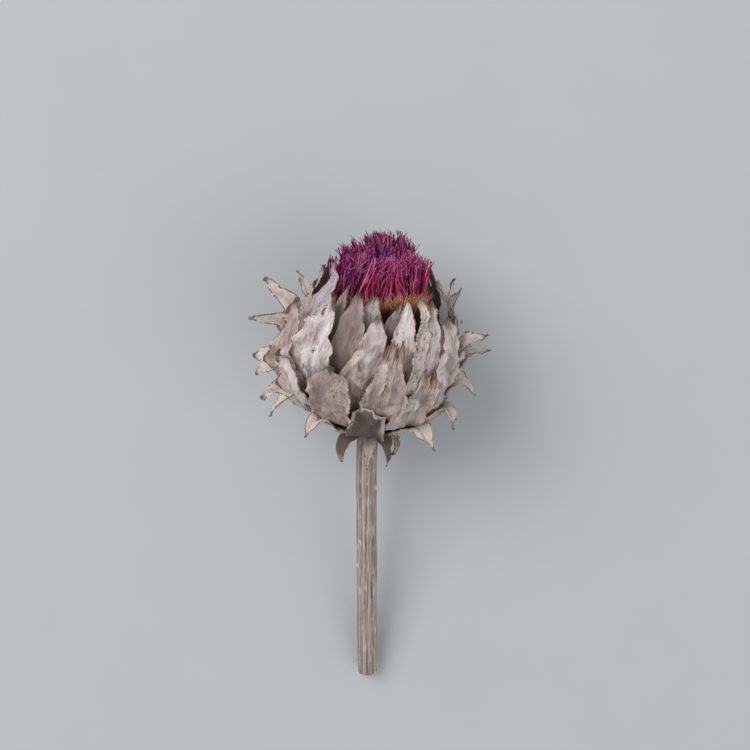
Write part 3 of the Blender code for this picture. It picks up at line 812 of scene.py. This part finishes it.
class FLOWER_OT_bracts(bpy.types.Operator):
    """Lay every bract, each a wrinkled sheet with its own margin and spine"""

    bl_idname = "flower.bracts"
    bl_label = "Bracts"

    def execute(self, context):
        settings = context.scene.flower_bracts
        skin = bract_finish(settings)
        for bract in bract_plan():
            work = bmesh.new()
            lay_bract(work, bract, settings.thickness)
            piece = finished(work, "dry_" + bract.name, skin)
            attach(piece, "root")
            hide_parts(bract.name)
        return {"FINISHED"}


# Florets

STRAND_SIDES = 5
FLORET_ROWS = 10
FLORET_FOOT = 44 * MM
TUFT_RADIUS = 19.5 * MM
TUFT_TOP = 85.3
# Middle, reach and rise of the highest part of the tuft
CROWN = Vector((3, 14, 0)) * MM
CROWN_REACH = 9.5 * MM
CROWN_RISE = 9.5
FRONT_NOD = 8.0  # how far the front locks bend in, in millimetres
# How far the end of a floret has shrivelled
WILT = 0.8 * MM
WILT_MOST = 3.2 * MM
# (share of the floret's length, share of its greatest thickness)
FLORET_OUTLINE = [(0, 0.7), (0.5, 0.8), (0.78, 1.0), (0.9, 0.85), (1.0, 0.5)]


def lay_strands(work, strands):
    """Thin tubes, each given as its points, its radii and two numbers that colour it."""
    layer = work.verts.layers.float_vector.new("strand")
    rows = len(strands[0][0])
    last = len(strands) * rows - 1
    verts = bmesh.ops.create_grid(work, x_segments=STRAND_SIDES, y_segments=last, size=1)["verts"]
    owner = {}
    turns = [(p[-1] - p[0]).normalized().to_track_quat("Z", "Y").to_matrix() for p, _, _ in strands]
    for vert in verts:
        strand, row = divmod(round((vert.co.y + 1) / 2 * last), rows)
        points, widths, colours = strands[strand]
        angle = math.pi * (vert.co.x + 1)
        vert.co = points[row] + turns[strand] @ Vector((math.cos(angle), math.sin(angle), 0)) * widths[row]
        vert[layer] = (row / (rows - 1), *colours)
        owner[vert] = strand
    across = [face for face in work.faces if len({owner[vert] for vert in face.verts}) > 1]
    bmesh.ops.delete(work, geom=across, context="FACES")
    bmesh.ops.remove_doubles(work, verts=work.verts[:], dist=0.003 * MM)


# The colour of a floret from its foot to its end
FLORET_COLOURS = [
    (0.0, (0.05, 0.002, 0.010)), (0.45, (0.27, 0.010, 0.055)), (0.75, (0.50, 0.024, 0.135)),
    (0.92, (0.48, 0.035, 0.18)), (1.0, (0.60, 0.12, 0.32)),
]
WITHERED = (0.055, 0.001, 0.012)


def floret_finish(settings):
    """Dry florets: crimson below, magenta above, violet in the middle of the tuft and pinkish at the ends."""
    dry = Finish("dry_floret", roughness=0.7, metallic=0.0)
    dry.shader.inputs["Specular IOR Level"].default_value = 0.15
    along, tone, heart = dry.split(dry.attribute("strand"))
    grain = dry.noise(dry.place(), 1100, 2)
    petal = dry.cover(dry.ramp(along, FLORET_COLOURS), [
        (dry.step(heart, 0.1, 0.9) * dry.step(along, 0.5, 0.85, 0.9), settings.violet[:]),
        (dry.step(tone, 0.6, 1.0, 0.9) * dry.step(along, 0.25, 0.7), settings.pink[:]),
        (dry.fall(tone, 0.1, 0.45, 0.8), WITHERED),
    ])
    petal = dry.mix(0.6, petal, dry.ramp(grain, [(0.35, (0.4, 0.4, 0.4)), (0.65, (1, 1, 1))]), "MULTIPLY")
    return dry.feed(base_color=petal, normal=dry.bump(grain, 0.2 * MM, 0.8))


class FloretSettings(bpy.types.PropertyGroup):
    locks: bpy.props.IntProperty(name="Locks", description="Locks that florets cling to", default=135, min=5)
    count: bpy.props.IntProperty(name="Count", description="Florets in a lock", default=14, min=2)
    width: length_setting("Width", "Greatest radius of a floret", 0.30 * MM)
    violet: colour_setting("Violet", "Middle of the tuft", (0.34, 0.07, 0.42))
    pink: colour_setting("Pink", "The palest florets", (0.74, 0.26, 0.44))


def scatter(chance, along=None):
    """A random offset, flat or with a third part of its own (mean, spread)."""
    return Vector((chance.gauss(0, 1), chance.gauss(0, 1), chance.gauss(*along) if along else 0))


def lock_of_florets(chance, share, angle, settings):
    """Florets that cling together, from a spot at a share of the tuft's radius.

    Returns the points, radii and colours of each.
    """
    spoke = Vector((math.cos(angle), math.sin(angle), 0))
    around = Vector((-spoke.y, spoke.x, 0))
    spot = spoke * share * TUFT_RADIUS
    # The locks bend in over the front, stand up at the sides and are tallest behind the middle.
    front = max(0, -spoke.y) * share
    back = max(0, spoke.y) * share
    flank = abs(spoke.x) * share
    crown = math.exp(-((spot - CROWN).length / CROWN_REACH) ** 2)
    height = TUFT_TOP + CROWN_RISE * crown - 0.6 * flank ** 3 + 0.8 * (1 - share) + chance.gauss(0, 1.9)
    height += 3.4 * back * rough(angle * 1.6, 3, 0)
    lean = spoke * (0.2 * flank ** 2 - FRONT_NOD * front ** 2 + 1.5 * back + chance.gauss(0, 1.7))
    lean += around * (9.0 * (1 - share) * share + chance.gauss(0, 2.6))
    tip = spot + lean * MM + Vector((0, 0, height * MM))
    heart = math.exp(-((share / 0.36) ** 2)) + (0.5 if spoke.x < -0.8 and share > 0.85 else 0)
    mood = chance.uniform(-0.14, 0.14)
    strands = []
    for _ in range(settings.count):
        spread = scatter(chance)
        stray = scatter(chance, (-0.6, 0.9))
        foot = spot * 0.92 + spread * 1.5 * MM
        foot.z = FLORET_FOOT
        end = tip + (spread * 0.4 + stray * 0.85) * MM
        belly = (spoke * (1.8 * share ** 2) + Vector((chance.gauss(0, 0.7), chance.gauss(0, 0.7), 0))) * MM
        kink = scatter(chance) * 0.6 * MM
        curl = spoke * chance.gauss(0, 1.1) + around * chance.gauss(0.7, 1.1) - Vector((0, 0, 0.6))
        phase = chance.uniform(0, 6.3)
        wilt = WILT_MOST if chance.random() < 0.25 + 0.4 * front else WILT
        above = Vector((foot.x, foot.y, end.z))
        points = []
        for row in range(FLORET_ROWS + 1):
            up = row / FLORET_ROWS
            point = foot.lerp(above, up) + (end - above) * ease(up, 0.35, 1.15) * 1.25
            point += belly * math.sin(math.pi * up) ** 2
            point += kink * math.sin(phase + 10 * up) * ease(up, 0.3, 0.8)
            points.append(point + curl * wilt * ease(up, 0.82, 1.08) ** 2)
        thick = settings.width * chance.uniform(0.7, 1.25)
        radii = [thick * between(FLORET_OUTLINE, row / FLORET_ROWS) for row in range(FLORET_ROWS + 1)]
        tone = min(1, max(0, chance.random() + mood + 0.06 * front - 0.22 * back))
        strands.append((points, radii, (tone, min(1, heart))))
    return strands


class FLOWER_OT_florets(bpy.types.Operator):
    """Stand the florets in their brush"""

    bl_idname = "flower.florets"
    bl_label = "Florets"

    def execute(self, context):
        settings = context.scene.flower_florets
        chance = random.Random(SEED + 1)
        golden = math.pi * (3 - math.sqrt(5))
        strands = []
        for i in range(settings.locks):
            share = math.sqrt((i + 0.5) / settings.locks)
            angle = i * golden + chance.uniform(-0.25, 0.25)
            strands += lock_of_florets(chance, share, angle, settings)
        work = bmesh.new()
        lay_strands(work, strands)
        tuft = finished(work, "florets", floret_finish(settings), 80)
        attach(tuft, "root")
        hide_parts("floret_tuft")
        return {"FINISHED"}


# Pappus

# The direction in which the bristles are thickest, from +X towards +Y, and how far round they stay thick
PAPPUS_FULLEST = math.radians(-75)
PAPPUS_SPREAD = 0.75
PAPPUS_RADIUS = 21.4
PAPPUS_FOOT = 52 * MM
PAPPUS_TOP = 69.0
BRISTLE_RADII = [0.17 * MM, 0.16 * MM, 0.14 * MM, 0.10 * MM, 0.03 * MM]
# Painted shade at the feet of the bristles, deep between the bracts
BRISTLE_FOOT_SHADE = (0.05, 0.015, 0.010)


def pappus_finish(settings):
    """Dry pappus: straw bristles with golden and rusty ones among them, with painted shade towards their
    feet.
    """
    dry = Finish("pappus_bristle", roughness=0.75, metallic=0.0)
    along, tone, _ = dry.split(dry.attribute("strand"))
    grain = dry.noise(dry.place(), 1200, 2)
    bristle = dry.mix(dry.step(tone, 0.15, 0.75), settings.rust[:], settings.gold[:])
    # Painted shade: the lower part of each bristle is darkened for the shade deep between the bracts.
    bristle = dry.mix(dry.fall(along, 0.55, 0.95, 0.95), bristle, BRISTLE_FOOT_SHADE)
    return dry.feed(base_color=bristle, normal=dry.bump(grain, 0.1 * MM, 0.5))


class PappusSettings(bpy.types.PropertyGroup):
    count: bpy.props.IntProperty(
        name="Count", description="Places for a bristle around the tuft", default=1500, min=10
    )
    gold: colour_setting("Gold", "Palest bristles", (0.95, 0.56, 0.26))
    rust: colour_setting("Rust", "Darkest bristles", (0.56, 0.20, 0.08))


def bristle(chance, angle):
    """The points, radii and colour of a bristle, or nothing where the collar is thin."""
    spoke = Vector((math.cos(angle), math.sin(angle), 0))
    around = Vector((-spoke.y, spoke.x, 0))
    clump = 0.5 + 0.9 * rough(spoke.x * 6, spoke.y * 6, 2)
    apart = (angle - PAPPUS_FULLEST + math.pi) % (2 * math.pi) - math.pi
    full = math.exp(-((apart / PAPPUS_SPREAD) ** 2))
    if chance.random() > 0.1 + 0.9 * full:
        return None
    out = PAPPUS_RADIUS + 0.2 + 2.6 * clump + 2.2 * full
    foot = spoke * (PAPPUS_RADIUS + chance.uniform(0, 2.0)) * MM + Vector((0, 0, PAPPUS_FOOT))
    tip = spoke * (out + chance.gauss(0, 1.1)) * MM + around * chance.gauss(0, 1.5) * MM
    tip.z = (PAPPUS_TOP + 2.5 * clump + 3.0 * full + chance.gauss(0, 1.3)) * MM
    last = len(BRISTLE_RADII) - 1
    points = [foot.lerp(tip, row / last) for row in range(last + 1)]
    points[-2] += spoke * chance.gauss(0, 0.5) * MM
    points[-1] += (spoke * 1.2 - Vector((0, 0, 1))) * chance.uniform(0, 2.0) * MM
    points[-1] += around * chance.gauss(0, 1.3) * MM
    return points, BRISTLE_RADII, (chance.random(), 0)


class FLOWER_OT_pappus(bpy.types.Operator):
    """Stand the bristles around the feet of the florets"""

    bl_idname = "flower.pappus"
    bl_label = "Pappus"

    def execute(self, context):
        settings = context.scene.flower_pappus
        chance = random.Random(SEED + 2)
        strands = []
        for i in range(settings.count):
            angle = 2 * math.pi * i / settings.count + chance.uniform(-0.05, 0.05)
            strand = bristle(chance, angle)
            if strand:
                strands.append(strand)
        work = bmesh.new()
        lay_strands(work, strands)
        ruff = finished(work, "pappus_bristles", pappus_finish(settings), 80)
        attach(ruff, "root")
        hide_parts("pappus_collar")
        return {"FINISHED"}


# Stem

STEM_RADIUS = 5.2 * MM
STEM_LENGTH = 138 * MM
STEM_RIBS = 10
FINE_RIBS = 23  # narrower ribs that run along the others
NECK_LENGTH = 30 * MM
NECK_SIDE_BEND = math.radians(4.4)
RIB_DEPTH = 0.65 * MM
PITH_DEPTH = 0.5 * MM  # how hollow the cut is
SCAR_SIZE = 1.1 * MM
SCAR_RISE = 1.4 * MM
STEM_SIDES = 140
STEM_ROWS = 90
# (azimuth of a scar from +X, its depth down the stem)
SCARS = [(math.radians(-32), 31 * MM), (math.radians(-150), 74 * MM), (math.radians(80), 104 * MM)]
RECEPTACLE_PROFILE = [
    (5.5, -5), (6.6, -2.4), (9, 0.7), (12.7, 3.8), (16, 6.7), (19, 9.4), (21.3, 12.4), (21.9, 14.6),
    (21.2, 16.4),
]

STEM_CHALK = (0.74, 0.685, 0.64)
STEM_TAN = (0.50, 0.42, 0.31)
STEM_GREY = (0.33, 0.28, 0.28)
STEM_SPECK = (0.14, 0.09, 0.06)
STEM_SCAR = (0.68, 0.50, 0.44)
STEM_PITH = (0.52, 0.44, 0.31)


def stem_centre(depth):
    """(point, matrix that turns +Z to the stem's direction) at a depth below the head along the stem."""
    step = 1 * MM
    point = Vector((0, 0, 0))
    walked = 0.0
    while True:
        bent = min(1, walked / NECK_LENGTH)
        turn = Matrix.Rotation(-NECK_SIDE_BEND * bent, 3, "Y")
        if walked >= depth:
            return point, turn
        move = min(step, depth - walked)
        point = point - turn @ Vector((0, 0, 1)) * move
        walked += move


def stem_finish(settings):
    """Dry stem: grey straw ribs over darker furrows, with long streaks and small scars."""
    dry = Finish("dry_stem", roughness=0.8, metallic=0.0)
    dry.shader.inputs["Specular IOR Level"].default_value = 0.3
    grain = dry.attribute("grain")
    rib, cut, scarred = dry.split(dry.attribute("marks"))
    fibre = dry.grained(grain, (2.4, 0.06, 1), 4, 0.6)
    streak = dry.grained(grain, (1.0, 0.025, 1), 3, 0.55)
    cloud = dry.grained(grain, (0.1, 0.05, 1), 3, 0.5)
    speck = dry.grained(grain, (1.2, 0.35, 1), 2, 0.5)
    chalky = dry.grained(grain, (0.9, 0.12, 1), 4, 0.65)
    bark = dry.mix(dry.step(streak, 0.36, 0.60), settings.furrow[:], settings.straw[:])
    bark = dry.cover(bark, [
        (dry.step(rib + (streak - 0.5) * 0.8, 0.55, 1.0, 0.85), settings.ridge[:]),
        (dry.step(chalky, 0.52, 0.66, 0.7), STEM_CHALK),
        (dry.step(cloud, 0.45, 0.65, 0.35), STEM_TAN),
        (dry.fall(cloud, 0.38, 0.5, 0.4), STEM_GREY),
        (dry.step(speck, 0.70, 0.80, 0.6), STEM_SPECK),
        (dry.step(scarred, 0.3, 0.7, 0.8), STEM_SCAR),
        (cut, STEM_PITH),
    ])
    bark = dry.mix(0.6, bark, dry.ramp(fibre, [(0.3, (0.5, 0.47, 0.45)), (0.65, (1, 1, 1))]), "MULTIPLY")
    return dry.feed(base_color=bark, normal=dry.bump(fibre * 0.5 + streak, 0.4 * MM, 0.8))


class StemSettings(bpy.types.PropertyGroup):
    straw: colour_setting("Straw", "Usual skin of the stem", (0.36, 0.295, 0.245))
    ridge: colour_setting("Ridge", "Tops of the ribs", (0.57, 0.50, 0.44))
    furrow: colour_setting("Furrow", "Darkest streaks", (0.17, 0.115, 0.09))


def scar(angle, depth):
    """1 on the scars that fallen leaves left on the stem, and 0 away from them."""
    mark = 0
    for where, down in SCARS:
        apart = (angle - where + math.pi) % (2 * math.pi) - math.pi
        far = (apart * STEM_RADIUS) ** 2 + ((depth - down) * 0.8) ** 2
        mark = max(mark, math.exp(-far / SCAR_SIZE ** 2))
    return mark


def stem_levels():
    """Rings from the middle of the cut up to the receptacle's top.

    Each is (centre, turn, radius, depth, how ribbed it is, whether it is in the cut).
    """
    cut_centre, cut_turn = stem_centre(STEM_LENGTH)
    levels = []
    for share in (0.02, 0.25, 0.5, 0.75, 0.92):
        pith = Vector((0, 0, (1 - share) * PITH_DEPTH))
        levels.append((cut_centre + pith, cut_turn, STEM_RADIUS * share, STEM_LENGTH, share, 1))
    neck = -RECEPTACLE_PROFILE[0][1] * MM
    for i in range(STEM_ROWS + 1):
        depth = STEM_LENGTH + (neck - STEM_LENGTH) * i / STEM_ROWS
        levels.append((*stem_centre(depth), STEM_RADIUS, depth, 1, 0))
    for radius, height in RECEPTACLE_PROFILE[1:] + [(0.02, RECEPTACLE_PROFILE[-1][1])]:
        centre = Vector((0, 0, height * MM))
        levels.append((centre, Matrix.Identity(3), radius * MM, -height * MM, 0, 0))
    return levels


def lay_stem(work):
    """A tube round the stem's levels, closed at both ends."""
    levels = stem_levels()
    grain = work.verts.layers.float_vector.new("grain")
    marks = work.verts.layers.float_vector.new("marks")
    last = len(levels) - 1
    verts = bmesh.ops.create_grid(work, x_segments=STEM_SIDES, y_segments=last, size=1)["verts"]
    for vert in verts:
        centre, turn, radius, depth, ribbed, cut = levels[round((vert.co.y + 1) / 2 * last)]
        angle = math.pi * (vert.co.x + 1)
        spoke = Vector((math.cos(angle), math.sin(angle), 0))
        wave = 0.5 + 0.5 * math.cos(STEM_RIBS * angle + 0.8 * rough(depth / MM / 40, 1, 0))
        narrow = 0.5 + 0.5 * math.cos(FINE_RIBS * angle + 2.5 * rough(depth / MM / 30, 5, 0))
        crest = 0.65 * wave ** 0.6 + 0.35 * narrow
        out = radius * (1 + 0.025 * rough(0, 2, depth / MM / 25))
        out -= ribbed * (1 - crest) * RIB_DEPTH
        out += ribbed * 0.3 * MM * rough(spoke.x * 2, spoke.y * 2, depth / MM / 12)
        out += ribbed * SCAR_RISE * scar(angle, depth)
        vert.co = centre + turn @ spoke * out
        vert[grain] = (angle * STEM_RADIUS / MM, depth / MM, 3)
        vert[marks] = (crest, cut, scar(angle, depth))
    bmesh.ops.remove_doubles(work, verts=work.verts[:], dist=0.005 * MM)
    for end in (levels[0][0], levels[-1][0]):
        hole = [edge for edge in work.edges if edge.is_boundary and (edge.verts[0].co - end).length < 1 * MM]
        bmesh.ops.contextual_create(work, geom=hole)


class FLOWER_OT_stem(bpy.types.Operator):
    """Grow the ribbed stem and the receptacle that it swells into"""

    bl_idname = "flower.stem"
    bl_label = "Stem"

    def execute(self, context):
        work = bmesh.new()
        lay_stem(work)
        stem = finished(work, "stem", stem_finish(context.scene.flower_stem))
        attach(stem, "root")
        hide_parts("stem_and_receptacle")
        return {"FINISHED"}


# Stage

CAMERA_TILT = math.radians(19.5)  # how far the camera looks down on the standing flower
CAMERA_DISTANCE = 0.559
CAMERA_LENS = 55.2
CAMERA_AIM = Vector((3.2, 25.3)) * MM  # to the right of and above the foot of the head, as the camera sees it
KEY_PLACE, KEY_SIZE = (-1.7, 1.3, 2.4), 2.1
FILL_PLACE, FILL_SIZE = (2.0, -0.9, 2.3), 2.6
HEAD_MIDDLE = Vector((0, 0.03, 0))  # from the junction; the lamps point at it
SKY_COLOUR = (0.93, 0.96, 1.0, 1)
FLOOR_SIZE = 3
FLOOR_GAP = 0.4 * MM  # room for the lowest wrinkles


class StageSettings(bpy.types.PropertyGroup):
    floor: colour_setting("Floor", "Pale surface under the flower", (0.452, 0.469, 0.478))
    key: power_setting("Key light", "Power of the soft lamp", 66.0)
    fill: power_setting("Fill light", "Power of the fill lamp", 22.0)
    sky: bpy.props.FloatProperty(name="Sky", description="Light from all around", default=0.56)


def lamp(name, place, power, size):
    light = bpy.data.lights.new(name, "AREA")
    light.energy = power
    light.size = size
    obj = bpy.data.objects.new(name, light)
    bpy.context.scene.collection.objects.link(obj)
    aim = (JUNCTION + HEAD_MIDDLE - Vector(place)).to_track_quat("-Z", "Y")
    obj.matrix_world = Matrix.Translation(place) @ aim.to_matrix().to_4x4()


class FLOWER_OT_stage(bpy.types.Operator):
    """Set the floor, the lamps, the sky and the camera"""

    bl_idname = "flower.stage"
    bl_label = "Stage"

    def execute(self, context):
        settings = context.scene.flower_stage
        scene = context.scene

        work = bmesh.new()
        bmesh.ops.create_grid(work, x_segments=2, y_segments=2, size=FLOOR_SIZE)
        mesh = bpy.data.meshes.new("floor")
        work.to_mesh(mesh)
        work.free()
        floor = bpy.data.objects.new("floor", mesh)
        floor.location.z = -FLOOR_GAP
        scene.collection.objects.link(floor)
        finish = Finish("pale_floor", roughness=0.9, metallic=0.0)
        cloud = finish.noise(finish.place(), 14, 3)
        shade = finish.mix(finish.step(cloud, 0.3, 0.7, 0.06), settings.floor[:], (0.6, 0.62, 0.64))
        mesh.materials.append(finish.feed(base_color=shade))

        lamp("key", KEY_PLACE, settings.key, KEY_SIZE)
        lamp("fill", FILL_PLACE, settings.fill, FILL_SIZE)

        world = bpy.data.worlds.new("sky")
        world.use_nodes = True
        sky = world.node_tree.nodes["Background"]
        sky.inputs["Color"].default_value = SKY_COLOUR
        sky.inputs["Strength"].default_value = settings.sky
        scene.world = world

        # The camera stands in front of the flower and a little above it, as the flower lies.
        tilt = CAMERA_TILT - HEAD_SLOPE
        up = Vector((0, math.cos(tilt), -math.sin(tilt)))
        look = Vector((0, -math.sin(tilt), -math.cos(tilt)))
        right = Vector((1, 0, 0))
        place = JUNCTION + right * CAMERA_AIM.x + up * CAMERA_AIM.y - look * CAMERA_DISTANCE
        data = bpy.data.cameras.new("camera")
        data.lens = CAMERA_LENS
        data.clip_start = 0.01
        camera = bpy.data.objects.new("camera", data)
        scene.collection.objects.link(camera)
        axes = Matrix((right, up, -look)).transposed().to_4x4()
        camera.matrix_world = Matrix.Translation(place) @ axes
        scene.camera = camera
        scene.view_settings.view_transform = "Standard"
        return {"FINISHED"}


class FLOWER_PT_panel(bpy.types.Panel):
    bl_idname = "FLOWER_PT_panel"
    bl_label = "Dried artichoke flower"
    bl_space_type = "VIEW_3D"
    bl_region_type = "UI"
    bl_category = "Flower"

    def draw(self, context):
        for operator, (name, group) in STEPS:
            box = self.layout.box()
            box.operator(operator.bl_idname)
            for key in group.__annotations__:
                box.prop(getattr(context.scene, name), key)


STEPS = [
    (FLOWER_OT_stem, ("flower_stem", StemSettings)),
    (FLOWER_OT_bracts, ("flower_bracts", BractSettings)),
    (FLOWER_OT_florets, ("flower_florets", FloretSettings)),
    (FLOWER_OT_pappus, ("flower_pappus", PappusSettings)),
    (FLOWER_OT_stage, ("flower_stage", StageSettings)),
]


def register():
    for operator, (name, group) in STEPS:
        bpy.utils.register_class(group)
        bpy.utils.register_class(operator)
        setattr(bpy.types.Scene, name, bpy.props.PointerProperty(type=group))
    bpy.utils.register_class(FLOWER_PT_panel)


def unregister():
    bpy.utils.unregister_class(FLOWER_PT_panel)
    for operator, (name, group) in reversed(STEPS):
        delattr(bpy.types.Scene, name)
        bpy.utils.unregister_class(operator)
        bpy.utils.unregister_class(group)


def main():
    register()
    bpy.ops.flower.stem()
    bpy.ops.flower.bracts()
    bpy.ops.flower.florets()
    bpy.ops.flower.pappus()
    bpy.ops.flower.stage()


if __name__ == "__main__":
    main()
